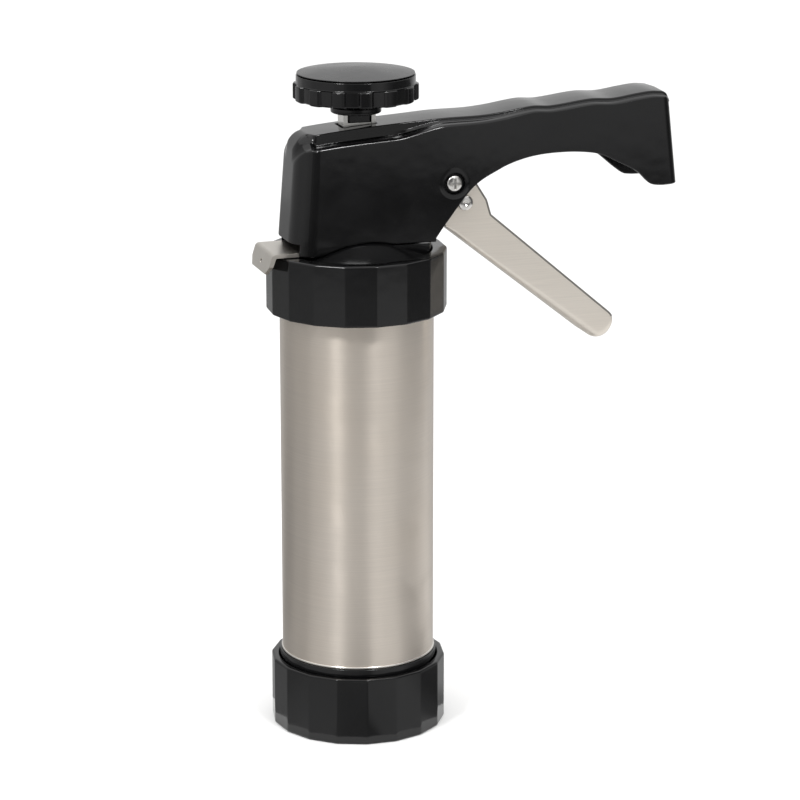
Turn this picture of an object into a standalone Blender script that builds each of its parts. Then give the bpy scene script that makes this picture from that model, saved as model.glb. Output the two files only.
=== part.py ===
"""Hand-squeezed jerky gun: a steel barrel with a screw collar at each end, a pistol head with a
long channel handle, a folded steel trigger that walks a drive plate down the plunger rod, a release
plate, and a knob, rod and piston that slide through the head.

Every dimension is in millimetres and add_object turns it into metres. The barrel's axis stands on
the origin of the empty "gun_axis", which is set back so that the middle of the whole gun's
footprint is the world origin. +Z is up and the handle points along +X.
"""
import math

import bmesh
import bpy

MM = 0.001
GAP = 0.3                     # running clearance between neighbouring pieces
AXIS_X = -37.1                # barrel axis, from the middle of the gun
ROUND = 54                    # sides of a turned piece, three to each collar flat
SMALL_ROUND = 18

# Barrel and its two thread rings
TUBE_R, TUBE_WALL = 25.1, 0.6
TUBE_BOTTOM, TUBE_TOP = 6.1, 154.5
RING_BORE = TUBE_R + GAP
BOTTOM_RING_R, BOTTOM_RING_TOP = 26.0, 25.0
TOP_RING_R, TOP_RING_BOTTOM = 26.2, 143.0

# Screw collars, with flats all round
COLLAR_FLATS = 18
BOTTOM_COLLAR_R, BOTTOM_COLLAR_TOP, BOTTOM_COLLAR_PHASE = 28.9, 22.6, -1.0
TOP_COLLAR_R, TOP_COLLAR_BOTTOM, TOP_COLLAR_TOP, TOP_COLLAR_PHASE = 29.4, 141.0, 161.0, 6.0
LIP_R, LIP_THICK = 24.6, 2.1
DIE_LIP_R, DIE_LIP_THICK = 21.0, 2.2

# Die disc and gaskets
DIE_R, DIE_BOTTOM, DIE_THICK = 25.6, 2.5, 1.5
SLOT_LENGTH, SLOT_WIDTH = 32.0, 5.0
DIE_GASKET_Z = (4.3, 5.8)
HEAD_GASKET_Z = (154.8, 156.0)

# Head: domed base, housing, pivots
BASE_R, BASE_BOTTOM, BASE_RIM = 26.2, 156.3, 158.5
BASE_FLOOR = 160.6
DOME = [(24.3, 159.2), (20.0, 161.0), (16.0, 163.0), (13.0, 164.5), (8.0, 165.7), (0.0, 166.0)]
HEAD_FRONT, HEAD_END = -24.5, 106.8
HEAD_HALF, HANDLE_HALF, SPINE_HALF = 13.0, 10.7, 8.0
WALL = 2.0
FRONT_CORNER, FRONT_ROLL, END_CORNER = 8.0, 6.3, 3.0
SHOULDER_DROP = 4.2
FRONT_DRAFT, END_DRAFT = 0.076, 0.111
TOP_LINE = [(-30, 198.8), (-17, 200.0), (0, 201.5), (16, 202.6), (27, 203.3), (39, 203.5), (46, 204.1),
            (57, 205.6), (63.5, 205.4), (77, 206.9), (85, 206.7), (95, 207.8), (102, 208.3), (109, 207.6)]
LOWER_LINE = [(22.9, 164.8), (26, 169.1), (35.8, 180.7), (45.2, 186.0), (50.6, 188.0), (57, 189.4),
              (64.5, 190.0), (72.7, 189.6), (78.4, 188.3), (84, 185.1), (87.5, 182.7), (92.2, 181.7),
              (95.4, 179.7), (98.2, 177.4), (109, 177.4)]
PIVOT = (29.1, 182.5)
PIVOT_R, PIVOT_HEAD_R, PIVOT_RECESS_R = 2.0, 2.8, 3.5

# Rod, piston and knob
ROD_X, ROD_Y, ROD_SHEET = 5.4, 4.0, 1.4
ROD_BOTTOM, ROD_TOP = 17.2, 204.9
TOOTH_PITCH, TOOTH_DEPTH = 4.0, 0.7
PISTON_R, SEAL_R = 24.0, 24.2
PISTON_Z = (10.6, 15.6)
KNOB_RIB_R, KNOB_BAND_R, KNOB_RIBS, KNOB_PHASE = 20.2, 19.2, 14, -97.5
KNOB_STEPS = 6                # sides of the knob from one rib to the next
KNOB_BOTTOM, KNOB_RIB_TOP, KNOB_BAND_TOP, KNOB_TOP = 209.4, 214.6, 217.5, 220.0
KNOB_HUB_R, KNOB_HUB_LOW, KNOB_HUB_TOP, KNOB_WEB_TOP = 8.2, 205.2, 207.2, 211.0

# Trigger lever and drive plate
CHEEK_Y, LEVER_SHEET = 8.4, 0.9
ARM_LENGTH, ARM_ANGLE, NOSE_R = 18.0, 164.0, 2.5
RIVET = (34.1, 175.1)
LEVER_ROOT, LEVER_TIP, LEVER_TIP_R = (27.5, 167.6), (81.4, 131.3), 5.1
LEVER_EDGES = (-128.5, 49.4)    # directions in which the lower and upper edges touch the round tip
DRIVE_THICK = 1.5

# Release plate
PLATE_Y, PLATE_BOTTOM, PLATE_THICK = 10.2, 161.3, 1.2
PLATE_BEND_X, PLATE_REAR_X = -30.3, 15.0
TAB_FOOT, TAB_CHAMFER = (-32.6, 155.8), 3.0


def remove_start_objects():
    for thing in list(bpy.data.objects):
        bpy.data.objects.remove(thing, do_unlink=True)


def make_material(name, color, roughness, metallic):
    material = bpy.data.materials.new(name)
    material.use_nodes = True
    shader = material.node_tree.nodes["Principled BSDF"]
    shader.inputs["Base Color"].default_value = (*color, 1.0)
    shader.inputs["Roughness"].default_value = roughness
    shader.inputs["Metallic"].default_value = metallic
    material.diffuse_color = (*color, 1.0)
    return material


def add_object(name, shape, material, origin=(0.0, 0.0, 0.0)):
    """A closed mesh from (points, faces) in millimetres, with its origin at the given point."""
    points, faces = shape
    mesh = bpy.data.meshes.new(name)
    mesh.from_pydata([[(p[i] - origin[i]) * MM for i in range(3)] for p in points], [], faces)
    work = bmesh.new()
    work.from_mesh(mesh)
    bmesh.ops.recalc_face_normals(work, faces=work.faces)
    work.to_mesh(mesh)
    work.free()
    mesh.materials.append(material)
    mesh.shade_smooth()
    mesh.set_sharp_from_angle(angle=math.radians(35))
    piece = bpy.data.objects.new(name, mesh)
    piece.location = [v * MM for v in origin]
    piece.parent = bpy.data.objects["gun_axis"]
    bpy.context.scene.collection.objects.link(piece)
    return piece


def add_cutter(name, shape):
    cutter = add_object(name, shape, bpy.data.materials["cutter"])
    cutter.hide_render = True
    cutter.display_type = 'WIRE'
    return cutter


def boolean(piece, operation, name, shape):
    """Cut a shape from a piece, or join it on, with the exact solver."""
    tool = add_cutter(name, shape)
    step = piece.modifiers.new(name, 'BOOLEAN')
    step.operation = operation
    step.solver = 'EXACT'
    step.object = tool


def cut(piece, name, shape):
    boolean(piece, 'DIFFERENCE', name, shape)


def join(piece, name, shape):
    boolean(piece, 'UNION', name, shape)


# ---------------------------------------------------------------- shapes, as (points, faces)

def box(low, high):
    points = [(x, y, z) for z in (low[2], high[2]) for y in (low[1], high[1]) for x in (low[0], high[0])]
    faces = [(0, 2, 3, 1), (4, 5, 7, 6), (0, 1, 5, 4), (2, 6, 7, 3), (0, 4, 6, 2), (1, 3, 7, 5)]
    return points, faces


def flats(phase):
    """Radius factor of a regular polygon whose corners stand at phase + k * 360 / COLLAR_FLATS."""
    step = 360.0 / COLLAR_FLATS

    def factor(angle):
        across = (angle - phase) % step - step / 2
        return math.cos(math.radians(step / 2)) / math.cos(math.radians(across))
    return factor


def ribs(angle):
    """Radius factor of the knob's ribbed edge."""
    step = 360.0 / KNOB_RIBS
    across = abs((angle - KNOB_PHASE + step / 2) % step - step / 2)
    return 1.0 if across < step / KNOB_STEPS + 0.01 else KNOB_BAND_R / KNOB_RIB_R


def lathe(profile, sides=ROUND, phase=0.0):
    """Turn a closed outline of (r, z) or (r, z, factor) points round the Z axis."""
    points, rings = [], []
    for entry in profile:
        radius, height = entry[0], entry[1]
        factor = entry[2] if len(entry) > 2 else None
        if radius == 0:
            rings.append([len(points)])
            points.append((0.0, 0.0, height))
            continue
        rings.append(list(range(len(points), len(points) + sides)))
        for k in range(sides):
            angle = phase + 360.0 * k / sides
            r = radius * (factor(angle) if factor else 1.0)
            points.append((r * math.cos(math.radians(angle)), r * math.sin(math.radians(angle)), height))
    faces = []
    for a, b in zip(rings, rings[1:] + rings[:1]):
        for k in range(sides):
            n = (k + 1) % sides
            if len(a) == 1 and len(b) == 1:
                break
            if len(a) == 1:
                faces.append((a[0], b[n], b[k]))
            elif len(b) == 1:
                faces.append((a[k], a[n], b[0]))
            else:
                faces.append((a[k], a[n], b[n], b[k]))
    return points, faces


def ring(inner, outer, low, high, sides=ROUND):
    return lathe([(inner, low), (outer, low), (outer, high), (inner, high)], sides)


def across(shape, x, z):
    """Turn a lathed shape so that its axis lies along Y through (x, z); its +Z goes to -Y."""
    points, faces = shape
    return [(p[0] + x, -p[2], p[1] + z) for p in points], faces


def rod_along_y(radius, x, z, low, high, sides=SMALL_ROUND):
    return across(lathe([(0, -high), (radius, -high), (radius, -low), (0, -low)], sides), x, z)


def rod_along_z(radius, x, y, low, high, sides=SMALL_ROUND):
    points, faces = lathe([(0, low), (radius, low), (radius, high), (0, high)], sides)
    return [(p[0] + x, p[1] + y, p[2]) for p in points], faces


def rod_along_x(radius, z, low, high, sides=SMALL_ROUND):
    points, faces = lathe([(0, low), (radius, low), (radius, high), (0, high)], sides)
    return [(p[2], p[0], p[1] + z) for p in points], faces


def prism(outline, low, high):
    """Extrude an (x, z) outline along Y."""
    count = len(outline)
    points = [(x, low, z) for x, z in outline] + [(x, high, z) for x, z in outline]
    faces = [tuple(range(count)), tuple(reversed(range(count, 2 * count)))]
    faces += [(k, (k + 1) % count, (k + 1) % count + count, k + count) for k in range(count)]
    return points, faces


def loft(sections):
    """Skin a row of closed sections with equal point counts, and cap both ends."""
    count = len(sections[0])
    points = [p for section in sections for p in section]
    faces = [tuple(range(count)), tuple(reversed(range(len(points) - count, len(points))))]
    for s in range(len(sections) - 1):
        base = s * count
        for k in range(count):
            n = (k + 1) % count
            faces.append((base + k, base + n, base + n + count, base + k + count))
    return points, faces


def arc(center, radius, start, end, steps):
    return [(center[0] + radius * math.cos(math.radians(start + (end - start) * k / steps)),
             center[1] + radius * math.sin(math.radians(start + (end - start) * k / steps)))
            for k in range(steps + 1)]


def coil(radius, wire, low, high, turns, center=(0.0, 0.0)):
    """A helical spring whose wire ends are closed flat."""
    per_turn, around = 16, 5
    steps = int(turns * per_turn)
    sections = []
    for s in range(steps + 1):
        turn = 2 * math.pi * s / per_turn
        height = low + wire + (high - low - 2 * wire) * s / steps
        section = []
        for k in range(around):
            a = 2 * math.pi * k / around
            r = radius + wire * math.cos(a)
            section.append((center[0] + r * math.cos(turn), center[1] + r * math.sin(turn),
                            height + wire * math.sin(a)))
        sections.append(section)
    return loft(sections)


def curve_at(line, x):
    """Height of a smooth line through the given points (Catmull-Rom)."""
    x = min(max(x, line[0][0]), line[-1][0])
    k = max(i for i in range(len(line) - 1) if line[i][0] <= x)
    p = [line[max(0, min(len(line) - 1, k + d))] for d in (-1, 0, 1, 2)]
    span = p[2][0] - p[1][0]
    t = (x - p[1][0]) / span
    slope_a = (p[2][1] - p[0][1]) / (p[2][0] - p[0][0]) * span
    slope_b = (p[3][1] - p[1][1]) / (p[3][0] - p[1][0]) * span
    return ((2 * t ** 3 - 3 * t ** 2 + 1) * p[1][1] + (t ** 3 - 2 * t ** 2 + t) * slope_a
            + (3 * t ** 2 - 2 * t ** 3) * p[2][1] + (t ** 3 - t ** 2) * slope_b)


def blend(x, start, end):
    t = min(max((x - start) / (end - start), 0.0), 1.0)
    return t * t * (3 - 2 * t)


def corner_loss(distance, radius):
    """How far a rounded corner stands back from its straight side, at a distance from the end."""
    reach = max(0.0, radius - distance)
    return radius - math.sqrt(max(0.0, radius ** 2 - reach ** 2))


# ---------------------------------------------------------------- barrel

def make_barrel(steel, black, rubber):
    add_object("barrel_tube", ring(TUBE_R - TUBE_WALL, TUBE_R, TUBE_BOTTOM, TUBE_TOP), steel)
    add_object("bottom_thread_ring", lathe([
        (RING_BORE, TUBE_BOTTOM), (BOTTOM_RING_R, TUBE_BOTTOM), (BOTTOM_RING_R, BOTTOM_RING_TOP - 0.3),
        (BOTTOM_RING_R - 0.3, BOTTOM_RING_TOP), (RING_BORE, BOTTOM_RING_TOP)]), black)
    add_object("top_thread_ring", ring(RING_BORE, TOP_RING_R, TOP_RING_BOTTOM, TUBE_TOP), black)
    add_object("head_gasket", ring(22.6, 26.0, *HEAD_GASKET_Z), rubber)


def make_collars(black):
    bottom = flats(BOTTOM_COLLAR_PHASE)
    r, top = BOTTOM_COLLAR_R, BOTTOM_COLLAR_TOP
    bore = BOTTOM_RING_R + GAP
    add_object("bottom_collar", lathe([
        (DIE_LIP_R, 0.0), (r - 0.6, 0.0, bottom), (r, 0.6, bottom), (r, top - 0.5, bottom),
        (r - 0.5, top, bottom), (bore, top), (bore, DIE_LIP_THICK), (DIE_LIP_R, DIE_LIP_THICK)],
        phase=BOTTOM_COLLAR_PHASE), black)
    upper = flats(TOP_COLLAR_PHASE)
    r, low, top = TOP_COLLAR_R, TOP_COLLAR_BOTTOM, TOP_COLLAR_TOP
    bore = TOP_RING_R + 0.4
    add_object("top_collar", lathe([
        (bore, low), (r - 0.5, low, upper), (r, low + 0.5, upper), (r, top - 0.5, upper),
        (r - 0.5, top, upper), (LIP_R, top), (LIP_R, top - LIP_THICK), (bore, top - LIP_THICK)],
        phase=TOP_COLLAR_PHASE), black)


def make_die(steel, rubber):
    disc = add_object("die_disc", lathe([(0, DIE_BOTTOM), (DIE_R, DIE_BOTTOM),
                                         (DIE_R, DIE_BOTTOM + DIE_THICK), (0, DIE_BOTTOM + DIE_THICK)]),
                      steel)
    half, end = SLOT_LENGTH / 2 - SLOT_WIDTH / 2, SLOT_WIDTH / 2
    outline = arc((half, 0), end, -90, 90, 6) + arc((-half, 0), end, 90, 270, 6)
    points, faces = prism(outline, 0, 8)
    cut(disc, "slot_cutter", ([(x, z, y) for x, y, z in points], faces))
    add_object("die_gasket", ring(22.6, 25.6, *DIE_GASKET_Z), rubber)


# ---------------------------------------------------------------- head

def make_head_base(black):
    rim = [(0, BASE_BOTTOM), (BASE_R, BASE_BOTTOM), (BASE_R, BASE_RIM), (LIP_R - GAP, BASE_RIM)]
    base = add_object("head_base", lathe(rim + DOME), black)
    cut(base, "plate_pocket", box((-30, -10.8, BASE_FLOOR), (17.5, 10.8, 170)))
    cut(base, "base_rod_hole", box((-6.0, -4.6, 150), (6.0, 4.6, 170)))


def head_section(x, inset):
    """The housing's outline across its length at x, drawn in by the wall thickness for the hollow."""
    front = x - (HEAD_FRONT + inset)
    back = (HEAD_END - inset) - x
    narrow = blend(x, 22, 62)
    half = HEAD_HALF + (HANDLE_HALF - HEAD_HALF) * narrow - inset
    half -= corner_loss(front, FRONT_CORNER - inset * 0.5) + corner_loss(back, END_CORNER - inset * 0.5)
    top = curve_at(TOP_LINE, x) - inset - corner_loss(front, FRONT_ROLL - inset * 0.5)
    top -= corner_loss(back, 2.0)
    drop = SHOULDER_DROP * (1 - 0.25 * blend(x, 16, 40))
    shoulder = top - drop * blend(front, -4, 9)
    spine = min(SPINE_HALF - inset, half - 1.9)
    if inset:
        low = 145.0
    else:
        low = curve_at(LOWER_LINE, x) if x > LOWER_LINE[0][0] else 150.0
    side = [(half, low), (half, shoulder - 1.6), (half - 1.4, shoulder - 0.2), (spine + 0.25, shoulder),
            (spine, top - 0.5), (spine - 0.6, top)]
    section = []
    for y, z in side + [(-y, z) for y, z in reversed(side)]:
        lean = FRONT_DRAFT * (z - 165) * (1 - blend(x, HEAD_FRONT, -8))
        lean -= END_DRAFT * (z - 177.5) * blend(x, 80, HEAD_END)
        section.append((x + lean, y, z))
    return section


def head_shape(inset):
    front, end = HEAD_FRONT + inset, HEAD_END - inset
    stations = [front + d for d in (0, 0.3, 1.0, 2.1, 3.6, 5.6, 8.0, 12.0)]
    middle = 4.0
    x = -8.0
    while x < end - 4.5:
        stations.append(x)
        x += middle
    stations += [end - d for d in (3.0, 1.8, 0.9, 0.3, 0.0)]
    return loft([head_section(x, inset) for x in stations])


def make_housing(black):
    housing = add_object("head_housing", head_shape(0.0), black)
    cut(housing, "housing_hollow", head_shape(WALL))
    cut(housing, "plate_slot", box((-40, -10.8, 150), (-15, 10.8, 165.4)))
    seat = [(0, 140), (31, 140), (31, TOP_COLLAR_TOP + GAP), (20, TOP_COLLAR_TOP + GAP)]
    seat += [(r, z + GAP) for r, z in DOME[2:]]
    cut(housing, "housing_seat", lathe(seat))
    cut(housing, "top_rod_hole", box((-6.0, -4.6, 180), (6.0, 4.6, 215)))
    x, z = PIVOT
    cut(housing, "pivot_recess_near", rod_along_y(PIVOT_RECESS_R, x, z, -20, -HEAD_HALF + 1.0))
    cut(housing, "pivot_recess_far", rod_along_y(PIVOT_RECESS_R, x, z, HEAD_HALF - 1.0, 20))
    cut(housing, "pivot_hole", rod_along_y(PIVOT_R + GAP, x, z, -20, 20))


def make_pivot(steel):
    x, z = PIVOT
    y = HEAD_HALF
    add_object("pivot_screw", across(lathe([
        (0, -y), (PIVOT_R, -y), (PIVOT_R, y - 0.7), (PIVOT_HEAD_R, y - 0.7), (PIVOT_HEAD_R, y - 0.2),
        (PIVOT_HEAD_R - 0.7, y + 0.3), (0, y + 0.6)], SMALL_ROUND), x, z), steel, (x, 0, z))
    add_object("pivot_nut", across(lathe([
        (PIVOT_R + GAP, -y - 0.3), (PIVOT_HEAD_R + 0.4, -y - 0.1), (PIVOT_HEAD_R + 0.4, -y + 0.7),
        (PIVOT_R + GAP, -y + 0.7)], SMALL_ROUND), x, z), steel, (x, 0, z))


def make_spring_plate(steel):
    """Fixed plate in the head that both springs push against; its lug backs the release plate."""
    plate = add_object("spring_plate", box((-18.0, -PLATE_Y, 167.6), (17.0, PLATE_Y, 169.0)), steel)
    join(plate, "spring_plate_lug", box((15.4, -6.0, 161.0), (16.8, 6.0, 168.3)))
    cut(plate, "spring_plate_hole", box((-6.0, -4.6, 160), (6.0, 4.6, 175)))


# ---------------------------------------------------------------- trigger and drive plate

def lever_outline():
    x, z = PIVOT
    nose = (x + ARM_LENGTH * math.cos(math.radians(ARM_ANGLE)),
            z + ARM_LENGTH * math.sin(math.radians(ARM_ANGLE)))
    blade = [LEVER_ROOT] + arc(LEVER_TIP, LEVER_TIP_R, *LEVER_EDGES, 9)
    neck = [(45.2, 169.2), (43.2, 172.0), (40.8, 177.6)] + arc(PIVOT, 7.6, 15, 95, 7)
    arm = arc(nose, NOSE_R, 85, 268, 8) + [(nose[0] + 5.2, nose[1] - NOSE_R), (22.5, 180.2), (24.2, 172.0)]
    return blade + neck + arm


def make_trigger(steel):
    x, z = PIVOT
    lever = add_object("trigger_lever", prism(lever_outline(), -CHEEK_Y, CHEEK_Y), steel, (x, 0, z))
    inner = CHEEK_Y - LEVER_SHEET
    tip = arc(LEVER_TIP, LEVER_TIP_R - LEVER_SHEET, LEVER_EDGES[0], 35, 8)
    along = math.radians(LEVER_EDGES[0] - 90)
    reach = math.dist(LEVER_ROOT, tip[0]) + 7.0
    floor_end = (tip[0][0] + reach * math.cos(along), tip[0][1] + reach * math.sin(along))
    hollow = [floor_end] + tip + [(110.0, 150.0), (60.0, 215.0), (0.0, 215.0), (0.0, floor_end[1])]
    cut(lever, "lever_hollow", prism(hollow, -inner, inner))
    cut(lever, "lever_pivot_hole", rod_along_y(PIVOT_R + GAP, x, z, -20, 20))
    cut(lever, "lever_rivet_hole", rod_along_y(1.5 + GAP, *RIVET, -20, 20))
    half = CHEEK_Y + GAP
    add_object("lever_rivet", across(lathe([
        (0, -half - 1.2), (1.6, -half - 1.0), (2.5, -half), (1.5, -half), (1.5, half), (2.5, half),
        (1.6, half + 1.0), (0, half + 1.2)], SMALL_ROUND), *RIVET), steel, (x, 0, z))


def make_drive(steel):
    top = PIVOT[1] + ARM_LENGTH * math.sin(math.radians(ARM_ANGLE)) - NOSE_R - GAP
    plate = add_object("drive_plate", box((-9.5, -9.6, top - DRIVE_THICK), (14.0, 9.6, top)), steel)
    cut(plate, "drive_plate_hole", box((-5.9, -4.5, 150), (5.9, 4.5, 200)))
    add_object("drive_spring", coil(8.4, 0.5, 169.3, top - DRIVE_THICK - GAP, 5), steel)


def make_release(steel):
    low, high = PLATE_BOTTOM, PLATE_BOTTOM + PLATE_THICK
    foot_x, foot_z = TAB_FOOT
    outline = [(PLATE_REAR_X, low), (PLATE_REAR_X, high), (PLATE_BEND_X, high),
               (PLATE_BEND_X - 0.6, high - 0.4), (foot_x, foot_z + 0.15), (foot_x + 1.0, foot_z),
               (PLATE_BEND_X + 0.6, low)]
    plate = add_object("release_plate", prism(outline, -PLATE_Y, PLATE_Y), steel, (PLATE_REAR_X, 0, low))
    cut(plate, "release_rod_hole", box((-6.6, -4.8, 150), (6.6, 4.8, 180)))
    for side in (-1, 1):
        near, far = PLATE_Y - TAB_CHAMFER, PLATE_Y + TAB_CHAMFER
        corner = [(side * (near - 1), foot_z - 1), (side * far, foot_z - 1),
                  (side * far, foot_z + 2 * TAB_CHAMFER)]
        points, faces = prism(corner, foot_x - 3, foot_x + 4)
        cut(plate, f"tab_corner_{'left' if side < 0 else 'right'}", ([(y, x, z) for x, y, z in points], faces))
    cut(plate, "tab_hole", rod_along_x(0.65, 158.8, foot_x - 5, PLATE_BEND_X + 5, 12))
    add_object("release_spring", coil(3.0, 0.35, high + GAP, 167.6 - GAP, 3, (-13.5, 0.0)), steel)


# ---------------------------------------------------------------- plunger

def make_rod(steel):
    """A folded channel, open towards -Y, with ratchet teeth along its two free edges."""
    x, y, t = ROD_X, ROD_Y, ROD_SHEET

    def section(z, edge):
        return [(-x, edge, z), (-x + t, edge, z), (-x + t, y - t, z), (x - t, y - t, z),
                (x - t, edge, z), (x, edge, z), (x, y, z), (-x, y, z)]
    stations = [section(ROD_BOTTOM + 1.0, -y)]
    z = 32.0
    while z < 184.0:
        stations += [section(z, -y + TOOTH_DEPTH), section(z + TOOTH_PITCH - 0.3, -y)]
        z += TOOTH_PITCH
    stations.append(section(ROD_TOP, -y))
    rod = add_object("plunger_rod", loft(stations), steel)
    join(rod, "rod_foot", box((-x, -y, ROD_BOTTOM), (x, y, ROD_BOTTOM + 2.0)))
    cut(rod, "rod_bolt_hole", rod_along_z(1.8, 0, 0, 10, 25))
    cut(rod, "rod_pin_hole", rod_along_x(1.5, 192.0, -10, 10))


def make_piston(black, rubber, steel):
    low, high = PISTON_Z
    bore = 1.8
    add_object("piston", lathe([
        (bore, low), (PISTON_R - 0.8, low), (PISTON_R, low + 0.8), (PISTON_R, low + 1.2), (21.8, low + 1.2),
        (21.8, high - 1.2), (PISTON_R, high - 1.2), (PISTON_R, high), (bore, high)]), black)
    add_object("piston_seal", ring(22.1, SEAL_R, low + 1.5, high - 1.5), rubber)
    add_object("lower_washer", ring(bore, 9.0, low - 1.3, low - GAP, 36), steel)
    add_object("upper_washer", ring(bore, 9.0, high + GAP, high + 1.3, 36), steel)
    add_object("piston_bolt", lathe([
        (0, 6.6), (2.4, 6.6), (3.0, 7.1), (3.0, low - 1.6), (1.5, low - 1.6), (1.5, 24.6), (0, 24.6)],
        SMALL_ROUND), steel)
    add_object("piston_nut", ring(bore, 2.5, ROD_BOTTOM + 2.3, ROD_BOTTOM + 5.2, 6), steel)


def make_knob(black, steel):
    x, y, t = ROD_X, ROD_Y, ROD_SHEET
    stem = add_object("knob_stem", box((-x + t + GAP, -y + 0.2, 186.0),
                                       (x - t - GAP, y - t - GAP, KNOB_HUB_LOW + 1.0)), black)
    hub, low, top, web = KNOB_HUB_R, KNOB_HUB_LOW, KNOB_HUB_TOP, KNOB_WEB_TOP
    join(stem, "knob_stem_disc", lathe([(0, low), (hub - 0.6, low), (hub, low + 0.6), (hub, top), (0, top)],
                                       40))
    cut(stem, "stem_screw_hole", rod_along_z(1.5, 0, 0, 195.8, 215))
    cut(stem, "stem_pin_hole", rod_along_x(1.5, 192.0, -10, 10))
    add_object("knob_pin", rod_along_x(1.2, 192.0, -x + 0.1, x - 0.1), steel)
    band = KNOB_BAND_R
    sides = KNOB_RIBS * KNOB_STEPS
    add_object("knob_body", lathe([
        (2.3, top + GAP), (hub - 0.2, top + GAP), (hub, KNOB_BOTTOM + 0.4), (15.5, KNOB_BOTTOM + 0.4),
        (KNOB_RIB_R - 0.6, KNOB_BOTTOM, ribs), (KNOB_RIB_R, KNOB_BOTTOM + 0.6, ribs),
        (KNOB_RIB_R, KNOB_RIB_TOP - 0.5, ribs), (band, KNOB_RIB_TOP), (band, KNOB_BAND_TOP - 0.3),
        (band - 0.4, KNOB_BAND_TOP), (5.0, KNOB_BAND_TOP), (5.0, web), (2.3, web)], sides,
        KNOB_PHASE), black)
    edge = KNOB_BAND_TOP + 0.8
    dome = [((band - 0.4) * math.cos(a), edge + (KNOB_TOP - edge) * math.sin(a) ** 1.3)
            for a in [math.radians(d) for d in (0, 15, 32, 50, 70)]]
    add_object("knob_cap", lathe([(0, KNOB_BAND_TOP + GAP), (band - 0.3, KNOB_BAND_TOP + GAP)] + dome
                                 + [(0, KNOB_TOP)]), black)
    add_object("knob_screw", lathe([(0, 197.0), (1.2, 197.0), (1.2, web + GAP), (4.2, web + GAP),
                                    (4.2, web + 1.6), (3.0, web + 2.6), (0, web + 2.9)], SMALL_ROUND), steel)


def main():
    remove_start_objects()
    axis = bpy.data.objects.new("gun_axis", None)
    axis.location = (AXIS_X * MM, 0, 0)
    bpy.context.scene.collection.objects.link(axis)
    make_material("cutter", (0.8, 0.2, 0.1), 0.5, 0.0)
    brushed = make_material("brushed_steel", (0.62, 0.58, 0.53), 0.32, 1.0)
    bright = make_material("bright_steel", (0.72, 0.71, 0.69), 0.22, 1.0)
    gloss = make_material("gloss_black", (0.012, 0.012, 0.013), 0.2, 0.0)
    satin = make_material("satin_black", (0.02, 0.02, 0.021), 0.42, 0.0)
    rubber = make_material("seal_rubber", (0.05, 0.05, 0.05), 0.7, 0.0)
    make_barrel(brushed, gloss, rubber)
    make_collars(gloss)
    make_die(brushed, rubber)
    make_head_base(gloss)
    make_housing(gloss)
    make_pivot(bright)
    make_spring_plate(bright)
    make_trigger(brushed)
    make_drive(bright)
    make_release(brushed)
    make_rod(bright)
    make_piston(satin, rubber, bright)
    make_knob(satin, bright)


main()
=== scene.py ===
import math

import bmesh
import bpy
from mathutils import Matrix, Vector
from mathutils.geometry import tessellate_polygon


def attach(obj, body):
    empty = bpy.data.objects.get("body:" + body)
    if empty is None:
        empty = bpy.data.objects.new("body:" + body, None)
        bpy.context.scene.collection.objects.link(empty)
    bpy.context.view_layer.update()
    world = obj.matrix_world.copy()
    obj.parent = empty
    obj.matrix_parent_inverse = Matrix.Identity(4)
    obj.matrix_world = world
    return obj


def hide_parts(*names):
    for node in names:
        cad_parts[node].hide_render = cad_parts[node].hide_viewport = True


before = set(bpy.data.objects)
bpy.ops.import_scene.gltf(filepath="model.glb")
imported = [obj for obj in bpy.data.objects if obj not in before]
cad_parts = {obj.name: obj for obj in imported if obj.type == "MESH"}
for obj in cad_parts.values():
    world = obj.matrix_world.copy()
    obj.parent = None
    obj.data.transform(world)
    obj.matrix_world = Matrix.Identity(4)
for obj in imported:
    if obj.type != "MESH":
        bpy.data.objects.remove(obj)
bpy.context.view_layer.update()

# Lengths are in millimetres: x and y from the barrel's axis, z from the surface that the gun stands on.
# place() turns them into the shared frame.
MM = 0.001
AXIS_X = -37.1
CLEARANCE = 0.3

# Barrel: the tube, the threaded rings bonded on its ends, and the bright beads beside them.
TUBE_RADIUS, TUBE_BORE = 25.1, 24.5
TUBE_FOOT, TUBE_TOP = 6.1, 154.5
RING_BORE = 25.4
LOWER_RING_RADIUS, LOWER_RING_TOP = 26.0, 25.0
UPPER_RING_RADIUS, UPPER_RING_FOOT = 26.2, 143.0
BEAD_RADIUS = 0.42

# Collars: 18 flats each, with softened edges between them.
COLLAR_FLATS, COLLAR_EDGE = 18, 2.6
LOWER_COLLAR_RADIUS, LOWER_COLLAR_BORE, LOWER_COLLAR_TOP = 28.9, 26.3, 22.6
UPPER_COLLAR_RADIUS, UPPER_COLLAR_BORE = 29.4, 26.6
UPPER_COLLAR_FOOT, UPPER_COLLAR_TOP = 141.0, 161.0

# Head: half its width narrows from the head to the handle between two places along x. Its side walls
# end lower than its front, where the release plate comes through and tilts.
HEAD_FRONT, HEAD_END = -24.5, 107.6
HEAD_HALF, HANDLE_HALF = 13.0, 10.7
NARROWING = (22, 62)
WALL = 2.0
WALL_FOOT, FRONT_FOOT = 161.3, 165.4
PLATE_ROOM = 10.8
PAD_TOP = 163.5
ROD_HOLE = ((-6.0, 6.0), (-4.6, 4.6))
PIVOT, PIVOT_HOLE = (29.1, 182.5), 2.3
CROSS_LENGTH, CROSS_WIDTH = 1.75, 0.42

# Trigger: its lower edge runs from the root to the round tip; the cheeks are its two sides.
RIVET, RIVET_HOLE = (34.1, 175.1), 1.8
LEVER_ROOT, LEVER_TIP, LEVER_TIP_R = (27.5, 167.6), (81.4, 131.3), 5.1
TIP_START, TIP_END = -128.5, 49.4
LEVER_T = 1.0
CHEEK = 8.4
BURR_RADIUS = 0.34

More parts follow.
